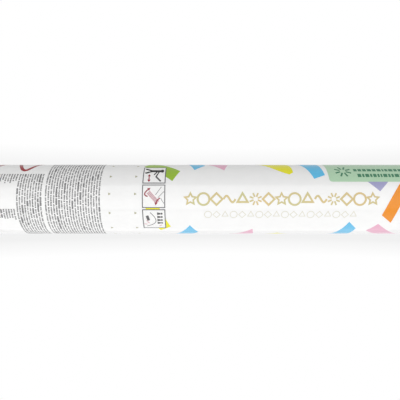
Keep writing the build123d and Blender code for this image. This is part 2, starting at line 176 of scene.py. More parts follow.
# Their lines: colour, frame, width, and points across and up from the frame's middle. Two points make a
# straight line, and three make a bent one with a control point.
PICTOGRAM_LINES = (
    ("black", "hold", 2.3, ((-3.1, 4.4), (-3.1, -1.8))),
    ("black", "hold", 1.4, ((-3.1, -1.0), (-5.7, -6.3))),
    ("black", "hold", 1.4, ((-3.1, -1.0), (-0.8, -6.4))),
    ("black", "hold", 0.8, ((-2.6, 1.9), (0.9, -0.3))),
    ("black", "hold", 0.8, ((-2.6, 3.2), (2.6, 1.2))),
    ("red", "hold", 0.7, ((1.4, -3.5), (5.8, -3.5))),
    ("red", "twist", 0.8, ((0.2, -4.0), (-0.9, -8.2), (-4.6, -3.6))),
    ("red", "twist", 0.8, ((1.3, 4.4), (2.3, 2.3), (4.6, 1.7))),
    ("pink", "twist", 3.0, ((-2.8, -3.7), (4.3, 2.8))),
    ("grey", "twist", 0.3, ((-6.4, 5.2), (-0.8, 1.3))),
    ("grey", "twist", 0.3, ((-3.2, 7.0), (0.9, 3.0))),
    ("grey", "twist", 0.3, ((4.9, 6.9), (1.6, 4.9))),
    ("grey", "twist", 0.16, ((-3.2, -2.9), (3.5, 3.2))),
    ("grey", "twist", 0.16, ((-2.6, -3.5), (4.1, 2.6))),
    ("grey", "twist", 0.16, ((-2.0, -4.1), (4.7, 2.0))),
    ("grey", "hold", 1.1, ((2.3, 0.9), (6.4, 4.5))),
    ("grey", "clear", 0.4, ((-5.8, -2.6), (2.5, 6.2), (5.6, -5.2))),
    ("grey", "clear", 1.9, ((-3.4, -4.7), (0.4, -3.7))),
)
# The holder's head: its middle, its radius, and how far it is stretched round the wrap
HOLDER_HEAD = (-3.2, 5.2)
HOLDER_HEAD_RADIUS = 1.2
HOLDER_HEAD_STRETCH = 1.5
HEAD_SIDES = 20
# Heads of the arrows: frame, tip, and the way that they point
ARROW_HEADS = (
    ("hold", (0.2, -3.5), (-1, 0)),
    ("hold", (7.0, -3.5), (1, 0)),
    ("twist", (-5.7, -2.2), (-1, 1.3)),
    ("twist", (6.2, 1.2), (1.6, -0.4)),
)
ARROW_HEAD_LENGTH = 1.9
ARROW_HEAD_WIDTH = 2.2
# Slips that fly out: a corner of each, their size, and how far they turn with each millimetre across
FLYING_SLIPS = ((1.4, -4.6), (2.6, -3.0), (3.4, -4.8), (4.2, 4.8))
FLYING_LENGTH = 2.1
FLYING_WIDTH = 0.9
FLYING_TURN = 50
# Bystanders: where they stand, their heads, and the corners of a body
BYSTANDERS = (-4.9, -2.4, 0.1, 2.6)
BYSTANDER_HEAD_UP = 5.2
BYSTANDER_HEAD_RADIUS = 0.7
BYSTANDER_BODY = ((-0.5, 4.4), (0.5, 4.4), (0.95, 2.2), (-0.95, 2.2))

# The badge, its burst, and its rows of dashes: where they start, their arcs and their size
BADGE_LOW = (388.0, 12.3)
BADGE_HIGH = (470.0, 40.0)
BADGE_CORNER = 2.0
BADGE_BURST = (398.8, 22.2)
BADGE_BURST_HEIGHT = 12.0
BADGE_BURST_STROKE = 1.5
BADGE_ROWS = ((406.5, 21.9), (408.0, 16.2))
BADGE_ROW_END = 462.0
BADGE_DASH_HEIGHT = 2.9
BADGE_DASH_LENGTHS = (1.1, 2.9)
BADGE_DASH_GAP = 0.75
BADGE_SEED = 5

# Grip: two foil rings, which stop short of the lap, and two arrows that show which way to twist
GRIP_RING_ALONGS = (14.0, 102.0)
GRIP_RING_GAP = 0.1
GRIP_ARROW_ALONG = 58.0
GRIP_ARROW_ARCS = (26.0, -52.5)
GRIP_HEAD_LENGTH = 9.0
GRIP_HEAD_WIDTH = 12.0

# Lap of the wraps, at the back
LAP_TURN = math.radians(168)
LAP_WIDTH = 9.0
LAP_RISE = 0.12
LAP_EDGE = 0.08
LAP_FADE = 3.0

# Print: how close points are welded, and the least width of the strips that it is cut into
WELD = 0.0001
LEAST_STRIP = 0.01
# Lines: the least cosine at a mitred corner, which keeps sharp corners short
LEAST_MITRE = 0.4
# Edges that turn by less are shaded smooth
SMOOTH_ANGLE = math.radians(30)

# Stacks of slips: how thick a leaf is against its pitch, how many colours a new bundle moves on, and the
# sides of a leaf, by its corners
STACK_SEED = 100
LEAF_SHARE = 0.86
BUNDLE_STEPS = (1, 2, 3)
LEAF_SIDES = ((3, 2, 1, 0), (4, 5, 6, 7), (0, 1, 5, 4), (1, 2, 6, 5), (2, 3, 7, 6), (3, 0, 4, 7))

# Lamps: name, degrees from the front towards -X, degrees up, width and height in metres, and whether
# glossy surfaces mirror it
LAMP_DISTANCE = 1.0
LAMPS = (
    ("front_lamp", 6, 0, 1.68, 1.4, True),
    ("side_lamp", -84, 0, 2.0, 1.4, True),
    ("back_lamp", 190, 0, 1.5, 1.4, False),
    ("top_lamp", 0, 90, 1.3, 1.3, True),
)
# The backdrop is white behind the popper and a pale grey elsewhere: the grey, and the backwards shares of a
# view between which it turns white
SIDE_GREY = 0.78
SIDE_EDGE = (0.4, 0.83)
# Greys of the backdrop right behind the popper, darker beside it as a painted soft shadow, and of the room
# that it mirrors, by the sideways share of a view, and the backwards shares between which the painted shadow
# begins
BACKDROP_SHADOW_EDGE = (0.8, 0.9)
BACKDROP_SHADOW_GREYS = ((-0.121, 1.0), (-0.085, 0.92), (0.0, 0.9), (0.086, 0.88), (0.095, 0.92), (0.1245, 1.0))
ROOM_GREYS = ((-0.12, 0.7), (-0.07, 0.9), (0.07, 0.9), (0.12, 1.0))
GREY_REACH = 0.16

# Floor: its sides, its opening as a share of the base's radius, how far it lies below the base, and the
# shares of its radius between which it fades out
FLOOR_SIDES = 96
FLOOR_HOLE_SHARE = 0.968
FLOOR_GAP = 0.2
FLOOR_FADE_SHARES = (0.4, 0.98)

# Surfaces: the detail of their two noises, the shares of the first between which the shades run, and the
# depth of the grain that the second makes
CLOUD_DETAIL = 4
GRAIN_DETAIL = 3
SHADE_SHARES = (0.3, 0.7)
GRAIN_DEPTH = 0.1
# How much of an ink's own colour shows on the paper
INK_STRENGTH = 0.9
# Finishes of the record's material slots, whose colours are settings
SLOT_FINISHES = {
    "printed_paper": dict(vary=0.012, scale=160, roughness=(0.13, 0.18), bump_scale=900, bump=0.008,
                          specular=1.0),
    "base_card": dict(vary=0.02, scale=200, roughness=(0.38, 0.5), bump_scale=1500, bump=0.06),
    "cap_card": dict(vary=0.04, scale=1200, roughness=(0.55, 0.7), bump_scale=2600, bump=0.14),
    "aluminium": dict(vary=0.12, scale=900, stretch=(1, 1, 0.03), roughness=(0.3, 0.45), metallic=1.0),
    "moulded_nylon": dict(scale=260, roughness=(0.4, 0.52), bump=0.06),
    "plate_plastic": dict(scale=260, roughness=(0.42, 0.55), bump=0.06),
    "cam_plastic": dict(vary=0.2, scale=300, roughness=(0.35, 0.5), bump=0.08),
    "seal_rubber": dict(vary=0.3, scale=800, roughness=(0.6, 0.8), bump=0.12),
    "brass": dict(vary=0.1, scale=700, stretch=(0.1, 0.1, 6), roughness=(0.22, 0.36), bump_scale=1200,
                  bump=0.08, metallic=1.0),
    "steel": dict(vary=0.1, scale=800, roughness=(0.25, 0.4), bump_scale=2000, bump=0.06, metallic=1.0),
    "wad_card": dict(vary=0.16, scale=1500, roughness=(0.8, 0.95), bump_scale=2200, bump=0.3),
}
# Slots of spiral-wound board: how far along one turn of the winding runs, and the tint and share of the turn
# of the line that a ply's edge draws
WOUND_LEADS = {"paper_tube": 60, "collar_card": 30}
PLY_LINE_TINT = (0.55, 0.5, 0.45)
PLY_LINE_SHARE = 0.02
WHITE = (1, 1, 1)


def linear(rgb):
    """Scene-linear colour of 8-bit display values."""
    shares = [value / 255 for value in rgb]
    return tuple(s / 12.92 if s <= 0.04045 else ((s + 0.055) / 1.055) ** 2.4 for s in shares)


def length_setting(name, description, millimetres):
    """A length property whose default is given in millimetres."""
    return FloatProperty(
        name=name, description=description, default=millimetres * MM, min=0, unit="LENGTH", precision=5,
    )


def colour_setting(name, description, *default):
    """A colour property."""
    return FloatVectorProperty(
        name=name, description=description, default=default, min=0, max=1, subtype="COLOR",
    )


def ink_setting(name, description, *rgb):
    """A colour property whose default is given in 8-bit display values."""
    return colour_setting(name, description, *linear(rgb))


def brightness_setting(name, description, default):
    """A lamp's brightness, where 1 is white."""
    return FloatProperty(name=name, description=description, default=default, min=0)


class PopperPrintSettings(PropertyGroup):
    """How the wraps are meshed, and the sizes of their print."""

    ink_lift: length_setting("Ink lift", "How far one layer of print stands proud of the paper", 0.03)
    ink_sink: length_setting("Ink sink", "How far the print reaches into the paper", 0.05)
    strip_width: length_setting("Strip width", "Widest flat strip of print round the wrap", 1.1)
    segments: IntProperty(name="Segments", description="Flat facets round a wrap", default=288, min=64)
    edge: length_setting("Edge", "Rounding of a wrap's cut edges", 0.06)
    streamer_width: length_setting("Streamer width", "Width of the wavy streamer", 2.3)
    frame_height: length_setting("Frame height", "Height of a pictogram's frame, along the barrel", 15.0)
    frame_width: length_setting("Frame width", "Width of a pictogram's frame, round the barrel", 15.5)
    frame_stroke: length_setting("Frame stroke", "Width of the frames' lines", 0.65)
    triangle_side: length_setting("Triangle side", "Side of a small foil triangle", 1.9)
    foil_height: length_setting("Foil height", "Height of the foil ornaments", 9.3)
    foil_stroke: length_setting("Foil stroke", "Width of the foil ornaments' lines", 1.35)
    pale_height: length_setting("Pale height", "Height of the pale ornaments", 5.3)
    pale_stroke: length_setting("Pale stroke", "Width of the pale ornaments' lines", 0.5)
    ring_width: length_setting("Ring width", "Width of the grip's foil rings", 1.2)
    arrow_length: length_setting("Arrow length", "Length of the grip's arrows, round the grip", 52.0)
    arrow_width: length_setting("Arrow width", "Width of the grip's arrows", 4.0)


class PopperInkSettings(PropertyGroup):
    """Colours of the inks, the foil and the confetti."""

    blue: ink_setting("Blue", "Blue slips", 97, 200, 245)
    pink: ink_setting("Pink", "Pink slips", 244, 182, 208)
    leaf: ink_setting("Leaf", "Leaf green slips", 158, 198, 50)
    orange: ink_setting("Orange", "Orange slips", 250, 151, 14)
    lemon: ink_setting("Lemon", "Lemon slips", 246, 240, 0)
    lavender: ink_setting("Lavender", "Lavender slips", 170, 170, 210)
    red: ink_setting("Red", "The wavy streamer", 160, 8, 26)
    grey: ink_setting("Grey", "Fine ticks", 112, 112, 114)
    pale: ink_setting("Pale", "The pale row of ornaments", 230, 227, 213)
    gold: ink_setting("Gold", "Stamped foil, where it is cool", 192, 190, 142)
    warm_gold: ink_setting("Warm gold", "Stamped foil, where it is warm", 208, 182, 132)
    dull_gold: ink_setting("Dull gold", "The small triangles, where they are cool", 165, 167, 136)
    dull_warm_gold: ink_setting("Dull warm gold", "The small triangles, where they are warm", 172, 168, 138)
    white: ink_setting("White", "The pictograms' panels", 246, 246, 245)
    frame: ink_setting("Frame", "The pictograms' frames", 108, 108, 112)
    black: ink_setting("Black", "The pictograms' holder", 10, 10, 11)
    mark_red: ink_setting("Mark red", "The pictograms' arrows", 158, 24, 54)
    mark_pink: ink_setting("Mark pink", "The pictograms' tube and slips", 238, 202, 207)
    mark_grey: ink_setting("Mark grey", "The pictograms' other marks", 92, 92, 94)
    badge: ink_setting("Badge", "The badge's ground", 188, 224, 190)
    badge_green: ink_setting("Badge green", "The badge's burst and dashes", 66, 132, 98)
    arrow: ink_setting("Arrow", "The grip's arrows", 208, 66, 88)


class PopperFinishSettings(PropertyGroup):
    """Colours of the record's material slots."""

    printed_paper: colour_setting("Printed paper", "Coated paper of the wraps", 0.9, 0.9, 0.895)
    base_card: colour_setting("Base", "Moulded cap of the base", 0.86, 0.86, 0.85)
    cap_card: colour_setting("Cap card", "Pressed card of the muzzle cap and cover", 0.86, 0.85, 0.83)
    aluminium: colour_setting("Aluminium", "Drawn air cylinder", 0.66, 0.67, 0.69)
    moulded_nylon: colour_setting("Nylon", "Plugs and poppet", 0.78, 0.77, 0.7)
    plate_plastic: colour_setting("Plate", "Blast plate", 0.8, 0.79, 0.73)
    cam_plastic: colour_setting("Cam", "Cam sleeve and bearing bush", 0.035, 0.035, 0.038)
    seal_rubber: colour_setting("Rubber", "Seals and fill plug", 0.02, 0.02, 0.021)
    brass: colour_setting("Brass", "Gland nut", 0.72, 0.52, 0.2)
    steel: colour_setting("Steel", "Rod, pin, spring and washers", 0.6, 0.61, 0.63)
    wad_card: colour_setting("Wad card", "Piston wad", 0.42, 0.36, 0.28)
    paper_tube: colour_setting("Tube board", "Wound board of the tubes", 0.5, 0.37, 0.24)
    collar_card: colour_setting("Collar board", "Wound board of the collars", 0.55, 0.42, 0.28)


class PopperInsideSettings(PropertyGroup):
    """How the stacks of confetti slips and the valve spring are made up."""

    leaves: IntProperty(name="Leaves", description="Leaves in one stack", default=44, min=4)
    bundle: IntProperty(name="Bundle", description="Leaves of one colour in a row", default=4, min=1)
    ragged_end: length_setting("Ragged end", "Most that a leaf is short at its ends", 1.1)
    ragged_side: length_setting("Ragged side", "Most that a leaf is short at its sides", 0.35)
    spring_wire: length_setting("Spring wire", "Thickness of the valve spring's wire", 1.0)
    spring_turns: IntProperty(name="Spring turns", description="Turns of the valve spring", default=6, min=2)


class PopperStageSettings(PropertyGroup):
    """Where the camera stands, and how bright the lights are."""

    camera_distance: length_setting("Camera distance", "From the popper's axis", 310)
    camera_height: length_setting("Camera height", "Above the base", 300)
    camera_side: length_setting("Camera side", "Off the popper's axis", 0.58)
    lens: FloatProperty(name="Lens", description="Focal length in millimetres", default=38.21, min=1)
    floor_radius: length_setting("Floor radius", "Of the round floor", 330)
    floor_colour: colour_setting("Floor colour", "Of the round floor", 0.8, 0.8, 0.795)
    front_lamp: brightness_setting("Front lamp", "Brightness of the lamp in front", 0.91)
    side_lamp: brightness_setting("Side lamp", "Brightness of the lamp at the side", 0.69)
    back_lamp: brightness_setting("Back lamp", "Brightness of the lamp behind", 0.85)
    top_lamp: brightness_setting("Top lamp", "Brightness of the lamp above", 0.95)
    room_light: brightness_setting("Room light", "Brightness of the even light from all round", 0.45)


# Shader nodes


def feed(tree, node, inputs):
    """Set a node's inputs, each to a value or to the output that feeds it."""
    for name, value in inputs.items():
        if isinstance(value, NodeSocket):
            tree.links.new(value, node.inputs[name])
        else:
            node.inputs[name].default_value = value


def add_node(tree, kind, inputs=None, **settings):
    """The outputs of a new node with those inputs and settings."""
    node = tree.nodes.new(f"ShaderNode{kind}")
    for name, value in settings.items():
        setattr(node, name, value)
    feed(tree, node, inputs or {})
    return node.outputs


def add_math(tree, operation, *inputs, **settings):
    """The result of a sum on values or on other nodes' outputs."""
    return add_node(tree, "Math", dict(enumerate(inputs)), operation=operation, **settings)["Value"]


def add_range(tree, value, from_span=(0, 1), to_span=(0, 1), **settings):
    """A value of one span as the like value of another span, which it doesn't leave."""
    ends = ("From Min", "From Max", "To Min", "To Max")
    inputs = {"Value": value, **dict(zip(ends, (*from_span, *to_span)))}
    return add_node(tree, "MapRange", inputs, **settings)["Result"]


def add_ramp(tree, share, *stops):
    """Colours by a share, between stops that are each a share and a colour."""
    node = tree.nodes.new("ShaderNodeValToRGB")
    elements = node.color_ramp.elements
    while len(elements) < len(stops):
        elements.new(position=0.5)
    for element, (position, colour) in zip(elements, stops):
        element.position = position
        element.color = (*colour, 1)
    feed(tree, node, {"Fac": share})
    return node.outputs["Color"]


# Materials


def varied_surface(name, colour, vary=0.04, scale=400.0, stretch=(1, 1, 1), roughness=(0.4, 0.5),
                   bump_scale=2500.0, bump=0.05, metallic=0.0, specular=0.5, drift=None):
    """A material whose colour, roughness and relief vary over the surface, from two noises. Its colour runs
    from a darker shade to a lighter one, or to the colour that it drifts to."""
    material = bpy.data.materials.new(name)
    material.use_nodes = True
    tree = material.node_tree
    place = add_node(tree, "TexCoord")["Object"]
    spread = add_node(tree, "Mapping", {"Vector": place, "Scale": stretch})["Vector"]
    clouds = add_node(tree, "TexNoise", {"Vector": spread, "Scale": scale, "Detail": CLOUD_DETAIL})["Fac"]
    grain = add_node(tree, "TexNoise", {"Vector": spread, "Scale": bump_scale, "Detail": GRAIN_DETAIL})["Fac"]
    darker = [c * (1 - vary) for c in colour]
    lighter = drift or [min(c * (1 + vary), 1) for c in colour]
    shader = tree.nodes["Principled BSDF"]
    # The plain colour and roughness are for viewers that don't follow the nodes
    feed(tree, shader, {
        "Base Color": (*colour, 1), "Roughness": sum(roughness) / 2, "Metallic": metallic,
        "Specular IOR Level": specular,
    })
    relief = {"Height": grain, "Strength": bump, "Distance": GRAIN_DEPTH * MM}
    feed(tree, shader, {
        "Base Color": add_ramp(tree, clouds, *zip(SHADE_SHARES, (darker, lighter))),
        "Roughness": add_range(tree, clouds, to_span=roughness),
        "Normal": add_node(tree, "Bump", relief)["Normal"],
    })
    return material


def wound_board(name, colour, lead):
    """Kraft board wound in a spiral: the plies' edges show as a helical line."""
    material = varied_surface(name, colour, vary=0.14, scale=900, stretch=(1, 1, 0.25),
                              roughness=(0.75, 0.9), bump_scale=1800, bump=0.25)
    tree = material.node_tree
    shader = tree.nodes["Principled BSDF"]
    axes = add_node(tree, "SeparateXYZ", {"Vector": add_node(tree, "TexCoord")["Object"]})
    turns = add_math(tree, "DIVIDE", add_math(tree, "ARCTAN2", axes["Y"], axes["X"]), 2 * math.pi)
    ply = add_math(tree, "FRACT", add_math(tree, "MULTIPLY_ADD", axes["Z"], 1 / (lead * MM), turns))
    line = add_ramp(tree, ply, (0, PLY_LINE_TINT), (PLY_LINE_SHARE, WHITE))
    board = shader.inputs["Base Color"].links[0].from_socket
    shades = {"Factor": 1, "A": board, "B": line}
    mixed = add_node(tree, "Mix", shades, data_type="RGBA", blend_type="MULTIPLY")
    feed(tree, shader, {"Base Color": mixed["Result"]})
    return material


def ink(name, prefix="ink", strength=INK_STRENGTH):
    """Printing ink on coated paper, in the colour of that name."""
    colour = [strength * share for share in getattr(bpy.context.scene.popper_inks, name)]
    return varied_surface(f"{prefix}_{name}", colour, vary=0.03, scale=700, roughness=(0.16, 0.22),
                          bump_scale=3000, bump=0.01)


def foil(name, cool, warm):
    """Hot-stamped foil, whose gold drifts from cool to warm."""
    return varied_surface(name, cool, scale=45, roughness=(0.38, 0.5), bump_scale=2200, bump=0.06,
                          metallic=0.3, drift=warm)


def tissue(name):
    """Dyed tissue paper in the colour of that name: matt, with a soft fibre."""
    colour = getattr(bpy.context.scene.popper_inks, name)
    return varied_surface(f"tissue_{name}", colour, vary=0.12, scale=1400, stretch=(1, 1, 0.3),
                          roughness=(0.7, 0.85), bump_scale=2600, bump=0.2)


def slot_material(slot):
    """The finished material of a slot, made when it is first asked for."""
    name = f"finish_{slot}"
    if name in bpy.data.materials:
        return bpy.data.materials[name]
    colour = getattr(bpy.context.scene.popper_finishes, slot)
    if slot in WOUND_LEADS:
        return wound_board(name, colour, WOUND_LEADS[slot])
    return varied_surface(name, colour, **SLOT_FINISHES[slot])


# Meshes


def new_mesh(name, vertices, faces):
    """A mesh of those points and faces."""
    mesh = bpy.data.meshes.new(name)
    mesh.from_pydata(vertices, [], faces)
    return mesh


def skin(count, corners, ring=True, tube=True):
    """Faces between so many sections of so many corners: the sections go round in a ring or stand in a row,
    and each is a closed tube's or an open strip's."""
    faces = []
    for step in range(count if ring else count - 1):
        here, there = step * corners, (step + 1) % count * corners
        for corner in range(corners if tube else corners - 1):
            following = (corner + 1) % corners
            faces.append((here + corner, here + following, there + following, there + corner))
    return faces


def add_piece(name, mesh, body, materials):
    """Link a finished mesh as a piece that rides on a body."""
    for material in materials:
        mesh.materials.append(material)
    for face in mesh.polygons:
        face.use_smooth = True
    mesh.set_sharp_from_angle(angle=SMOOTH_ANGLE)
    piece = bpy.data.objects.new(name, mesh)
    bpy.context.scene.collection.objects.link(piece)
    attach(piece, body)
    return piece


def lap_rise(turn):
    """How far the wrap's lap lifts its surface at an angle from the front, in metres."""
    past = (turn - LAP_TURN) % (2 * math.pi) * BODY_RADIUS / MM
    if past > LAP_WIDTH + LAP_FADE:
        return 0.0
    climb = min(past / LAP_EDGE, 1.0)
    fade = min(max((past - LAP_WIDTH) / LAP_FADE, 0.0), 1.0)
    return LAP_RISE * MM * climb * (1 - fade * fade * (3 - 2 * fade))


def wrap_point(along, arc, lift):
    """Place of a point of the flat layout on the wrap, lifted by so many metres."""
    turn = arc * MM / BODY_RADIUS
    radius = BODY_RADIUS + lap_rise(turn) + lift
    return Vector((-radius * math.sin(turn), -radius * math.cos(turn), along * MM))


def wrap_mesh(node, settings):
    """A rolled sheet of paper with its lap, as a closed shell."""
    low, high = (corner.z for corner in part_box(node))
    inner = min(v.co.xy.length for v in frame["nodes"][node].data.vertices)
    lap_edge = LAP_EDGE * MM / BODY_RADIUS
    turns = [2 * math.pi * step / settings.segments for step in range(settings.segments)]
    turns = sorted(turns + [LAP_TURN - lap_edge, LAP_TURN, LAP_TURN + lap_edge])
    edge = settings.edge
    vertices = []
    for turn in turns:
        outer = BODY_RADIUS + lap_rise(turn)
        section = (
            (inner, low), (outer - edge, low), (outer, low + edge),
            (outer, high - edge), (outer - edge, high), (inner, high),
        )
        vertices += [(-r * math.sin(turn), -r * math.cos(turn), z) for r, z in section]
    return new_mesh(node, vertices, skin(len(turns), len(section)))


def facing_out(outline):
    """The outline's points, ordered so that its face looks out of the wrap."""
    area = sum(a[0] * b[1] - b[0] * a[1] for a, b in zip(outline, outline[1:] + outline[:1]))
    return outline if area > 0 else outline[::-1]


def print_mesh(name, outlines, settings, layer):
    """Flat outlines as thin closed ink, cut into strips and laid on the paper."""
    flat = bmesh.new()
    for outline in outlines:
        flat.faces.new([flat.verts.new((along, arc, 0)) for along, arc in facing_out(list(outline))])
    bmesh.ops.remove_doubles(flat, verts=flat.verts[:], dist=WELD)
    strip = settings.strip_width / MM
    arcs = [vertex.co.y for vertex in flat.verts]
    tallest = max(max(v.co.y for v in f.verts) - min(v.co.y for v in f.verts) for f in flat.faces)
    if tallest > strip:
        for cut in range(math.ceil(min(arcs) / strip), math.floor(max(arcs) / strip) + 1):
            everything = flat.verts[:] + flat.edges[:] + flat.faces[:]
            bmesh.ops.bisect_plane(
                flat, geom=everything, dist=LEAST_STRIP, plane_co=(0, cut * strip, 0), plane_no=(0, 1, 0),
            )
    flat.verts.index_update()
    count = len(flat.verts)
    vertices = []
    for lift in (settings.ink_lift * layer, -settings.ink_sink):
        vertices += [wrap_point(v.co.x, v.co.y, lift) for v in flat.verts]
    faces = []
    for face in flat.faces:
        ring = [v.index for v in face.verts]
        faces.append(ring)
        faces.append([index + count for index in reversed(ring)])
        for loop in face.loops:
            if loop.edge.is_boundary:
                start, end = loop.vert.index, loop.link_loop_next.vert.index
                faces.append((end, start, start + count, end + count))
    flat.free()
    return new_mesh(name, vertices, faces)


def print_piece(name, outlines, layer, material, body="barrel"):
    """Print on a body's wrap, as one piece."""
    mesh = print_mesh(name, outlines, bpy.context.scene.popper_print, layer)
    add_piece(name, mesh, body, [material])


def spring_mesh(name, low, high, wire, turns, steps=48, sides=16):
    """A coil of round wire between two corners, with its ends cut square."""
    radius = wire / 2
    coil = high.x - radius
    pitch = (high.z - low.z - wire) / turns
    sections = turns * steps + 1
    vertices = []
    for step in range(sections):
        turn = 2 * math.pi * step / steps
        outwards = Vector((math.cos(turn), math.sin(turn), 0))
        onwards = Vector((-math.sin(turn), math.cos(turn), pitch / (2 * math.pi * coil))).normalized()
        across = onwards.cross(outwards)
        middle = outwards * coil + Vector((0, 0, low.z + radius + pitch * step / steps))
        for side in range(sides):
            angle = 2 * math.pi * side / sides
            vertices.append(middle + (outwards * math.cos(angle) + across * math.sin(angle)) * radius)
    ends = [tuple(reversed(range(sides))), tuple(range(len(vertices) - sides, len(vertices)))]
    return new_mesh(name, vertices, skin(sections, sides, ring=False) + ends)


def stack_mesh(number, low, high, papers, settings):
    """A stack of leaves between two corners: bundles of one paper, and each leaf a little short."""
    dice = random.Random(STACK_SEED + number)
    flat_axis = number % 2
    wide_axis = 1 - flat_axis
    leaf_pitch = (high[flat_axis] - low[flat_axis]) / settings.leaves
    vertices, faces, paper_of = [], [], []
    paper = number
    for leaf in range(settings.leaves):
        if leaf % settings.bundle == 0:
            paper += dice.choice(BUNDLE_STEPS)
        near, far = Vector(low), Vector(high)
        near[flat_axis] = low[flat_axis] + leaf_pitch * leaf
        far[flat_axis] = near[flat_axis] + leaf_pitch * LEAF_SHARE
        near[wide_axis] += dice.uniform(0, settings.ragged_side)
        far[wide_axis] -= dice.uniform(0, settings.ragged_side)
        near.z += dice.uniform(0, settings.ragged_end)
        far.z -= dice.uniform(0, settings.ragged_end)
        first = len(vertices)
        corners = ((near.x, near.y), (far.x, near.y), (far.x, far.y), (near.x, far.y))
        vertices += [(x, y, z) for z in (near.z, far.z) for x, y in corners]
        faces += [[first + corner for corner in side] for side in LEAF_SIDES]
        paper_of += [paper % papers] * len(LEAF_SIDES)
    mesh = new_mesh(f"confetti_leaves_{number + 1:02d}", vertices, faces)
    mesh.polygons.foreach_set("material_index", paper_of)
    return mesh


# Flat outlines


def from_polar(origin, length, turn):
    """The point at a length and a turn from another."""
    turn = math.radians(turn)
    return origin[0] + length * math.cos(turn), origin[1] + length * math.sin(turn)


def rectangle(low, high):
    """The four corners between two."""
    return [low, (high[0], low[1]), high, (low[0], high[1])]


def rounded_box(low, high, radius, steps=6):
    """A rectangle with round corners."""
    inset = rectangle((high[0] - radius, high[1] - radius), (low[0] + radius, low[1] + radius))
    outline = []
    for quarter, middle in enumerate(inset):
        for step in range(steps + 1):
            outline.append(from_polar(middle, radius, RIGHT_ANGLE * (quarter + step / steps)))
    return outline


def circle_points(middle, radius, sides, start=0, stretch=1):
    """Points round a circle, or round an oval that is stretched round the wrap."""
    points = [from_polar((0, 0), radius, start + FULL_TURN * side / sides) for side in range(sides)]
    return [(middle[0] + along, middle[1] + arc * stretch) for along, arc in points]


def straight_slip(corner, first, second):
    """A slip with four corners, from one corner and the two edges that leave it."""
    beside = from_polar(corner, *first)
    return [[corner, beside, from_polar(beside, *second), from_polar(corner, *second)]]


def bent_edge(start, control, end, steps=10):
    """Points along an edge that bends evenly towards its control point."""
    shares = [step / steps for step in range(steps + 1)]
    return [
        tuple((1 - t) ** 2 * a + 2 * t * (1 - t) * b + t * t * c for a, b, c in zip(start, control, end))
        for t in shares
    ]


def bent_slip(left, right):
    """A slip between two bent edges."""
    left, right = bent_edge(*left), bent_edge(*right)
    return [[left[i], right[i], right[i + 1], left[i + 1]] for i in range(len(left) - 1)]


def stroke(points, width, closed=False):
    """An even line through points, mitred at its corners."""
    count = len(points)
    left, right = [], []
    for index, point in enumerate(points):
        before = points[index - 1] if closed or index else point
        after = points[(index + 1) % count] if closed or index < count - 1 else point
        sides = []
        for start, end in ((before, point), (point, after)):
            run = Vector((end[0] - start[0], end[1] - start[1]))
            if run.length > 0:
                sides.append(Vector((-run.y, run.x)).normalized())
        mitre = sum(sides, Vector((0, 0))).normalized()
        reach = width / 2 / max(mitre.dot(sides[0]), LEAST_MITRE)
        left.append((point[0] + mitre.x * reach, point[1] + mitre.y * reach))
        right.append((point[0] - mitre.x * reach, point[1] - mitre.y * reach))
    last = count if closed else count - 1
    return [
        [right[i], right[(i + 1) % count], left[(i + 1) % count], left[i]] for i in range(last)
    ]


def streamer(width, steps=48):
    """A narrow ribbon that waves along the barrel."""
    points = []
    for step in range(steps + 1):
        wave = STREAMER_SPAN[0] + (STREAMER_SPAN[1] - STREAMER_SPAN[0]) * step / steps
        rise = STREAMER_HEIGHT / 2 * (1 - math.cos(2 * math.pi * wave))
        points.append((STREAMER_TROUGH[0] + STREAMER_PITCH * wave, STREAMER_TROUGH[1] + rise))
    return stroke(points, width)


def ornament(kind, middle, height, width):
    """One outlined party shape of that height, drawn with a stroke of that width."""
    reach = (height - width) / 2
    if kind in LINE_ORNAMENTS:
        return stroke(circle_points(middle, reach, *LINE_ORNAMENTS[kind]), width, closed=True)
    if kind == "star":
        outer = circle_points(middle, reach, STAR_POINTS, RIGHT_ANGLE)
        half_step = FULL_TURN / STAR_POINTS / 2
        inner = circle_points(middle, reach * STAR_INNER_SHARE, STAR_POINTS, RIGHT_ANGLE + half_step)
        points = [point for pair in zip(outer, inner) for point in pair]
        return stroke(points, width * SPIKY_STROKE_SHARE, closed=True)
    if kind == "burst":
        faces = []
        for ray in range(BURST_RAYS):
            turn = FULL_TURN * (ray + 0.5) / BURST_RAYS
            ends = [from_polar(middle, reach * share, turn) for share in BURST_RAY_SHARES]
            faces += stroke(ends, width * SPIKY_STROKE_SHARE)
        return faces
    steps = 16
    wave = []
    for step in range(steps + 1):
        rise = reach * WAVE_SHARE * math.sin(2 * math.pi * step / steps)
        wave.append((middle[0] + reach * (2 * step / steps - 1), middle[1] + rise))
    return stroke(wave, width)


def ornament_row(kinds, span, arc, height, width):
    """Ornaments that stand evenly along the barrel."""
    pitch = (span[1] - span[0]) / len(kinds)
    outlines = []
    for place, kind in enumerate(kinds):
        outlines += ornament(kind, (span[0] + pitch * (place + 0.5), arc), height, width)
    return outlines


def arrow(start, length, width, head_length, head_width):
    """An arrow round the wrap, from start towards smaller arcs."""
    along, arc = start
    neck, tip = arc - length + head_length, arc - length
    return [[
        (along - width / 2, arc), (along - width / 2, neck), (along - head_width / 2, neck), (along, tip),
        (along + head_width / 2, neck), (along + width / 2, neck), (along + width / 2, arc),
    ]]


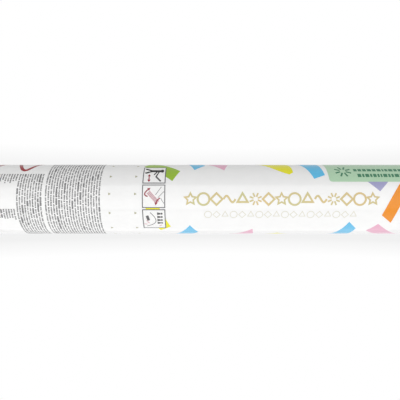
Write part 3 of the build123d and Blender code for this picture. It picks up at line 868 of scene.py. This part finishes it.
def tick_block(dice, first, pitch, count, arc_high, arc_low, rag):
    """Lines of fine ticks that run round the wrap in groups, a few of them bold, to ragged ends."""
    faces = []
    for line in range(count):
        along = first + pitch * line
        arc = arc_high
        end = arc_low + dice.uniform(0, rag)
        while arc > end:
            stop = max(arc - dice.uniform(*TICK_GROUPS), end)
            scale, gaps = (BOLD_HEIGHT, BOLD_GAPS) if dice.random() < BOLD_SHARE else (1, TICK_GAPS)
            while arc > stop:
                tick = dice.uniform(*TICK_LENGTHS)
                low = along - scale * dice.uniform(*TICK_FALLS)
                high = along + scale * dice.uniform(*TICK_RISES)
                faces.append(rectangle((low, arc - tick), (high, arc)))
                arc -= tick + dice.uniform(*gaps)
            arc -= dice.uniform(*TICK_GROUP_GAPS)
    return faces


def clear_of(middle, reach, boxes):
    """Whether a slip's round reach keeps clear of stretches of other print."""
    along, arc = middle
    for low, high, near, far in boxes:
        if low - reach < along < high + reach and near - reach < arc < far + reach:
            return False
    return True


def scattered_slips(seed, node, printed):
    """Loose slips by ink, at random places on a wrap that keep clear of other print and of each other."""
    dice = random.Random(seed)
    low, high = (corner.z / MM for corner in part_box(node))
    groups = {name: [] for name in SCATTER_INKS}
    middles = []
    for _ in range(SCATTER_TRIES):
        length = dice.uniform(*SCATTER_LENGTHS)
        width = dice.uniform(*SCATTER_WIDTHS)
        tilt = dice.uniform(0, FULL_TURN / 2)
        reach = math.hypot(length, width) / 2
        middle = (dice.uniform(low + reach, high - reach), dice.uniform(-ROUND_WRAP / 2, ROUND_WRAP / 2))
        gaps = []
        for other in middles:
            apart = abs(middle[1] - other[1])
            gaps.append(math.hypot(middle[0] - other[0], min(apart, ROUND_WRAP - apart)))
        if min(gaps, default=SCATTER_SPACING) < SCATTER_SPACING or not clear_of(middle, reach, printed):
            continue
        corner = from_polar(from_polar(middle, -length / 2, tilt), -width / 2, tilt + RIGHT_ANGLE)
        name = SCATTER_INKS[len(middles) % len(SCATTER_INKS)]
        groups[name] += straight_slip(corner, (length, tilt), (width, tilt + RIGHT_ANGLE))
        middles.append(middle)
    return groups


# Pictograms


def pictogram_point(panel, across, up):
    """Place of a pictogram's point: it reads along the barrel, with its right towards smaller arcs."""
    return FRAME_ALONG + up, FRAME_ARCS[panel] - across


def pictogram_lines(colour):
    """The pictograms' lines of one colour."""
    faces = []
    for line_colour, panel, width, line in PICTOGRAM_LINES:
        if line_colour == colour:
            points = bent_edge(*line) if len(line) == 3 else line
            faces += stroke([pictogram_point(panel, *point) for point in points], width)
    return faces


def holder_head():
    """The head of the one who holds the popper."""
    middle = pictogram_point("hold", *HOLDER_HEAD)
    return [circle_points(middle, HOLDER_HEAD_RADIUS, HEAD_SIDES, stretch=HOLDER_HEAD_STRETCH)]


def arrow_heads():
    """The heads of the pictograms' arrows."""
    faces = []
    for panel, tip, way in ARROW_HEADS:
        way = Vector(way).normalized()
        side = Vector((-way.y, way.x)) * ARROW_HEAD_WIDTH / 2
        foot = Vector(tip) - way * ARROW_HEAD_LENGTH
        faces.append([pictogram_point(panel, *point) for point in (tip, foot + side, foot - side)])
    return faces


def flying_slips():
    """The slips that a pictogram's popper fires."""
    faces = []
    for across, up in FLYING_SLIPS:
        turn = FLYING_TURN * across
        edges = (FLYING_LENGTH, turn), (FLYING_WIDTH, turn + RIGHT_ANGLE)
        faces += straight_slip(pictogram_point("clear", across, up), *edges)
    return faces


def bystanders():
    """The people who stand clear of the burst."""
    faces = []
    for across in BYSTANDERS:
        middle = pictogram_point("clear", across, BYSTANDER_HEAD_UP)
        faces.append(circle_points(middle, BYSTANDER_HEAD_RADIUS, HEAD_SIDES))
        faces.append([pictogram_point("clear", across + side, up) for side, up in BYSTANDER_BODY])
    return faces


# Pictograms by colour: ink, layer, and what they have besides their lines
PICTOGRAM_COLOURS = {
    "black": ("black", MARK_LAYER, holder_head),
    "red": ("mark_red", TOP_LAYER, arrow_heads),
    "pink": ("mark_pink", MARK_LAYER, flying_slips),
    "grey": ("mark_grey", TOP_LAYER, bystanders),
}


# Pieces and groups of pieces


class POPPER_OT_wraps(Operator):
    """Roll the printed paper wraps of the barrel and the grip"""

    bl_idname = "popper.wraps"
    bl_label = "Wraps"

    def execute(self, context):
        paper = slot_material("printed_paper")
        for node, body in (("barrel_wrap", "barrel"), ("grip_wrap", "twist_base")):
            mesh = wrap_mesh(node, context.scene.popper_print)
            piece = add_piece(f"rolled_{node}", mesh, body, [paper])
            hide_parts(node)
        return {"FINISHED"}


class POPPER_OT_slips(Operator):
    """Print the coloured confetti slips on the barrel"""

    bl_idname = "popper.slips"
    bl_label = "Printed slips"

    def execute(self, context):
        groups = scattered_slips(BARREL_SEED, "barrel_wrap", BARREL_PRINT)
        for name, corner, first, second in STRAIGHT_SLIPS:
            groups[name] += straight_slip(corner, first, second)
        for name, left, right in BENT_SLIPS:
            groups[name] += bent_slip(left, right)
        groups["red"] = streamer(context.scene.popper_print.streamer_width / MM)
        for name, outlines in groups.items():
            print_piece(f"printed_slips_{name}", outlines, SLIP_LAYER, ink(name))
        return {"FINISHED"}


class POPPER_OT_ticks(Operator):
    """Print the blocks of fine grey ticks"""

    bl_idname = "popper.ticks"
    bl_label = "Fine ticks"

    def execute(self, context):
        dice = random.Random(TICK_SEED)
        ticks = []
        for block in TICK_BLOCKS:
            ticks += tick_block(dice, *block)
        print_piece("fine_ticks", ticks, SLIP_LAYER, ink("grey"))
        return {"FINISHED"}


class POPPER_OT_foil(Operator):
    """Stamp the foil ornaments and triangles, and print the pale row"""

    bl_idname = "popper.foil"
    bl_label = "Foil"

    def execute(self, context):
        settings, inks = context.scene.popper_print, context.scene.popper_inks
        height, width = settings.foil_height / MM, settings.foil_stroke / MM
        row = ornament_row(FOIL_ROW, FOIL_SPAN, FOIL_ARC, height, width)
        print_piece("foil_ornaments", row, PANEL_LAYER, foil("gold_foil", inks.gold, inks.warm_gold))

        triangles = []
        pitch = ROUND_WRAP / TRIANGLES_ROUND
        reach = settings.triangle_side / MM / math.sqrt(3)
        for along in TRIANGLE_ALONGS:
            for place in range(TRIANGLES_ROUND):
                arc = TRIANGLE_FIRST_ARC + pitch * (place - TRIANGLES_ROUND // 2)
                triangles.append(circle_points((along, arc), reach, sides=3))
        dull = foil("dull_foil", inks.dull_gold, inks.dull_warm_gold)
        print_piece("foil_triangles", triangles, PANEL_LAYER, dull)

        height, width = settings.pale_height / MM, settings.pale_stroke / MM
        row = ornament_row(PALE_ROW, PALE_SPAN, PALE_ARC, height, width)
        print_piece("pale_ornaments", row, SLIP_LAYER, ink("pale"))
        return {"FINISHED"}


class POPPER_OT_pictograms(Operator):
    """Print the three framed pictograms: hold it, twist it, stand clear of the burst"""

    bl_idname = "popper.pictograms"
    bl_label = "Pictograms"

    def execute(self, context):
        settings = context.scene.popper_print
        rise, reach = settings.frame_height / MM / 2, settings.frame_width / MM / 2
        panels, frames = [], []
        for arc in FRAME_ARCS.values():
            corners = rectangle((FRAME_ALONG - rise, arc - reach), (FRAME_ALONG + rise, arc + reach))
            panels.append(corners)
            frames += stroke(corners, settings.frame_stroke / MM, closed=True)
        print_piece("pictogram_panels", panels, PANEL_LAYER, ink("white", strength=1))
        print_piece("pictogram_frames", frames, MARK_LAYER, ink("frame"))
        for colour, (paint, layer, shapes) in PICTOGRAM_COLOURS.items():
            print_piece(f"pictogram_{colour}", pictogram_lines(colour) + shapes(), layer, ink(paint))
        return {"FINISHED"}


class POPPER_OT_badge(Operator):
    """Print the pale green badge with its burst and dashes"""

    bl_idname = "popper.badge"
    bl_label = "Badge"

    def execute(self, context):
        outline = rounded_box(BADGE_LOW, BADGE_HIGH, BADGE_CORNER)
        print_piece("badge", [outline], PANEL_LAYER, ink("badge"))
        dice = random.Random(BADGE_SEED)
        marks = ornament("burst", BADGE_BURST, BADGE_BURST_HEIGHT, BADGE_BURST_STROKE)
        for along, arc in BADGE_ROWS:
            while along < BADGE_ROW_END:
                length = dice.uniform(*BADGE_DASH_LENGTHS)
                marks.append(rectangle((along, arc), (along + length, arc + BADGE_DASH_HEIGHT)))
                along += length + BADGE_DASH_GAP
        print_piece("badge_marks", marks, MARK_LAYER, ink("badge_green"))
        return {"FINISHED"}


class POPPER_OT_grip(Operator):
    """Print the grip: foil rings, twist arrows and a few slips"""

    bl_idname = "popper.grip"
    bl_label = "Grip print"

    def execute(self, context):
        settings, inks = context.scene.popper_print, context.scene.popper_inks
        end = LAP_TURN * BODY_RADIUS / MM - GRIP_RING_GAP
        start = end + 2 * GRIP_RING_GAP - ROUND_WRAP
        half_width = settings.ring_width / MM / 2
        rings = []
        for along in GRIP_RING_ALONGS:
            rings.append(rectangle((along - half_width, start), (along + half_width, end)))
        arrows = []
        for arc in GRIP_ARROW_ARCS:
            arrows += arrow((GRIP_ARROW_ALONG, arc), settings.arrow_length / MM, settings.arrow_width / MM,
                            GRIP_HEAD_LENGTH, GRIP_HEAD_WIDTH)
        prints = [
            ("grip_foil_rings", rings, foil("grip_foil", inks.gold, inks.warm_gold)),
            ("grip_arrows", arrows, ink("arrow")),
        ]
        for name, slips in scattered_slips(GRIP_SEED, "grip_wrap", GRIP_PRINT).items():
            prints.append((f"grip_slips_{name}", slips, ink(name, prefix="grip_ink")))
        for name, outlines, material in prints:
            print_piece(name, outlines, SLIP_LAYER, material, body="twist_base")
        return {"FINISHED"}


class POPPER_OT_stacks(Operator):
    """Stack the confetti slips in the barrel, leaf by leaf"""

    bl_idname = "popper.stacks"
    bl_label = "Confetti stacks"

    def execute(self, context):
        papers = [tissue(name) for name in SCATTER_INKS]
        for number, node in enumerate(sorted(n for n in frame["nodes"] if n.startswith("confetti_stack"))):
            mesh = stack_mesh(number, *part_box(node), len(papers), context.scene.popper_inside)
            piece = add_piece(mesh.name, mesh, "load", papers)
            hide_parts(node)
        return {"FINISHED"}


class POPPER_OT_spring(Operator):
    """Wind the valve spring as a coil of one fixed length; the real one shortens as the valve is drawn down
    """

    bl_idname = "popper.spring"
    bl_label = "Valve spring"

    def execute(self, context):
        settings = context.scene.popper_inside
        low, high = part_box("valve_spring")
        mesh = spring_mesh("wound_valve_spring", low, high, settings.spring_wire, settings.spring_turns)
        piece = add_piece(mesh.name, mesh, "barrel", [slot_material("steel")])
        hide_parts("valve_spring")
        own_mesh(piece)
        return {"FINISHED"}


class POPPER_OT_finishes(Operator):
    """Give every other piece its finished material"""

    bl_idname = "popper.finishes"
    bl_label = "Finishes"

    def execute(self, context):
        for part in frame["record"]["subparts"]:
            slot = part["material_slot"]
            if slot in SLOT_FINISHES or slot in WOUND_LEADS:
                for place in frame["nodes"][part["node"]].material_slots:
                    place.material = slot_material(slot)
        return {"FINISHED"}


# Stage


def add_lamp(middle, brightness, name, from_front, up, width, height, mirrored):
    """A soft flat lamp, turned so many degrees from the front towards -X and then up."""
    lamp = bpy.data.lights.new(name, "AREA")
    lamp.shape = "RECTANGLE"
    lamp.size = width
    lamp.size_y = height
    lamp.energy = brightness * math.pi * width * height
    holder = bpy.data.objects.new(name, lamp)
    turn, rise = math.radians(from_front), math.radians(up)
    level = Vector((-math.sin(turn), -math.cos(turn), 0))
    away = (level * math.cos(rise) + Vector((0, 0, math.sin(rise)))) * LAMP_DISTANCE
    holder.location = middle + away
    holder.rotation_euler = away.to_track_quat("Z", "Y").to_euler()
    holder.visible_camera = False
    holder.visible_glossy = mirrored
    bpy.context.scene.collection.objects.link(holder)


def add_floor(settings):
    """A round pale floor whose edge fades out. It is open under the popper's base and clear from below."""
    material = varied_surface("pale_floor", settings.floor_colour, vary=0.01, scale=60, roughness=(0.5, 0.6),
                              bump_scale=300, bump=0.02)
    tree = material.node_tree
    place = add_node(tree, "TexCoord")["Object"]
    distance = add_node(tree, "VectorMath", {0: place}, operation="LENGTH")["Value"]
    fade = add_range(tree, distance, [settings.floor_radius * share for share in FLOOR_FADE_SHARES], (1, 0))
    below = add_node(tree, "NewGeometry")["Backfacing"]
    shown = add_math(tree, "SUBTRACT", fade, below, use_clamp=True)
    feed(tree, tree.nodes["Principled BSDF"], {"Alpha": shown})

    radii = (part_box("base_cap")[1].x * FLOOR_HOLE_SHARE, settings.floor_radius)
    turns = [2 * math.pi * step / FLOOR_SIDES for step in range(FLOOR_SIDES)]
    vertices = [(r * math.cos(turn), r * math.sin(turn), 0) for turn in turns for r in radii]
    mesh = new_mesh("floor", vertices, skin(FLOOR_SIDES, len(radii), tube=False))
    mesh.materials.append(material)
    holder = bpy.data.objects.new("floor", mesh)
    holder.location.z = -FLOOR_GAP * MM
    bpy.context.scene.collection.objects.link(holder)


def sideways_greys(tree, sideways, greys):
    """Greys by the sideways share of a ray's way, as a background of strength 1."""
    share = add_range(tree, sideways, (-GREY_REACH, GREY_REACH))
    stops = [((place + GREY_REACH) / (2 * GREY_REACH), (grey, grey, grey)) for place, grey in greys]
    return add_node(tree, "Background", {"Color": add_ramp(tree, share, *stops)})["Background"]


def mix_shaders(tree, share, first, second):
    """The first shader where the share is 0, and the second where it is 1."""
    return add_node(tree, "MixShader", {"Fac": share, 1: first, 2: second})["Shader"]


def add_backdrop(scene, brightness):
    """Even light from all round, a pale backdrop that is white behind the popper and a little darker right
    behind it as a painted soft shadow, and a pale room for glossy and clear surfaces to show."""
    world = bpy.data.worlds.new("studio")
    world.use_nodes = True
    scene.world = world
    tree = world.node_tree
    light = tree.nodes["Background"]
    feed(tree, light, {"Color": (*WHITE, 1), "Strength": brightness})
    axes = add_node(tree, "SeparateXYZ", {"Vector": add_node(tree, "TexCoord")["Generated"]})
    paleness = add_range(tree, axes["Y"], SIDE_EDGE, (SIDE_GREY, 1), interpolation_type="SMOOTHSTEP")
    around = add_node(tree, "Background", {"Color": paleness})["Background"]
    # The greys right behind the popper are a painted soft shadow on the backdrop, which camera rays see
    behind = add_range(tree, axes["Y"], BACKDROP_SHADOW_EDGE)
    backdrop = mix_shaders(tree, behind, around, sideways_greys(tree, axes["X"], BACKDROP_SHADOW_GREYS))
    room = sideways_greys(tree, axes["X"], ROOM_GREYS)

    path = add_node(tree, "LightPath")
    mirrored = add_math(tree, "MAXIMUM", path["Is Glossy Ray"], path["Is Transmission Ray"])
    lit = mix_shaders(tree, mirrored, light.outputs["Background"], room)
    seen = mix_shaders(tree, path["Is Camera Ray"], lit, backdrop)
    feed(tree, tree.nodes["World Output"], {"Surface": seen})


class POPPER_OT_stage(Operator):
    """Set up the floor, the soft lights, the pale backdrop and the camera"""

    bl_idname = "popper.stage"
    bl_label = "Stage"

    def execute(self, context):
        settings = context.scene.popper_stage
        add_floor(settings)
        add_backdrop(context.scene, settings.room_light)
        middle = Vector((0, 0, settings.camera_height))
        for lamp in LAMPS:
            add_lamp(middle, getattr(settings, lamp[0]), *lamp)
        camera = bpy.data.cameras.new("camera")
        camera.lens = settings.lens
        holder = bpy.data.objects.new("camera", camera)
        # The picture's right is up the popper, and its top is towards -X
        turned = Matrix(((0, -1, 0), (0, 0, -1), (1, 0, 0)))
        place = Vector((settings.camera_side, -settings.camera_distance, settings.camera_height))
        holder.matrix_world = Matrix.Translation(place) @ turned.to_4x4()
        context.scene.collection.objects.link(holder)
        context.scene.camera = holder
        context.scene.view_settings.view_transform = "Standard"
        return {"FINISHED"}


class POPPER_PT_panel(Panel):
    """The popper's settings, and buttons for its pieces in the order that they are made"""

    bl_idname = "POPPER_PT_panel"
    bl_label = "Confetti popper"
    bl_space_type = "VIEW_3D"
    bl_region_type = "UI"
    bl_category = "Popper"

    def draw(self, context):
        for holder in SETTINGS:
            box = self.layout.box()
            box.label(text=holder.replace("_", " ").capitalize())
            settings = getattr(context.scene, holder)
            for name in SETTINGS[holder].__annotations__:
                box.prop(settings, name)
        for operator in OPERATORS:
            self.layout.operator(operator.bl_idname)


OPERATORS = (
    POPPER_OT_wraps,
    POPPER_OT_slips,
    POPPER_OT_ticks,
    POPPER_OT_foil,
    POPPER_OT_pictograms,
    POPPER_OT_badge,
    POPPER_OT_grip,
    POPPER_OT_stacks,
    POPPER_OT_spring,
    POPPER_OT_finishes,
    POPPER_OT_stage,
)
SETTINGS = {
    "popper_print": PopperPrintSettings,
    "popper_inks": PopperInkSettings,
    "popper_finishes": PopperFinishSettings,
    "popper_inside": PopperInsideSettings,
    "popper_stage": PopperStageSettings,
}
CLASSES = (*SETTINGS.values(), *OPERATORS, POPPER_PT_panel)


def register():
    for group in CLASSES:
        bpy.utils.register_class(group)
    for holder, group in SETTINGS.items():
        setattr(bpy.types.Scene, holder, PointerProperty(type=group))


def unregister():
    for holder in SETTINGS:
        delattr(bpy.types.Scene, holder)
    for group in reversed(CLASSES):
        bpy.utils.unregister_class(group)


def main():
    register()
    bpy.ops.popper.wraps()
    bpy.ops.popper.slips()
    bpy.ops.popper.ticks()
    bpy.ops.popper.foil()
    bpy.ops.popper.pictograms()
    bpy.ops.popper.badge()
    bpy.ops.popper.grip()
    bpy.ops.popper.stacks()
    bpy.ops.popper.spring()
    bpy.ops.popper.finishes()
    bpy.ops.popper.stage()


if __name__ == "__main__":
    main()
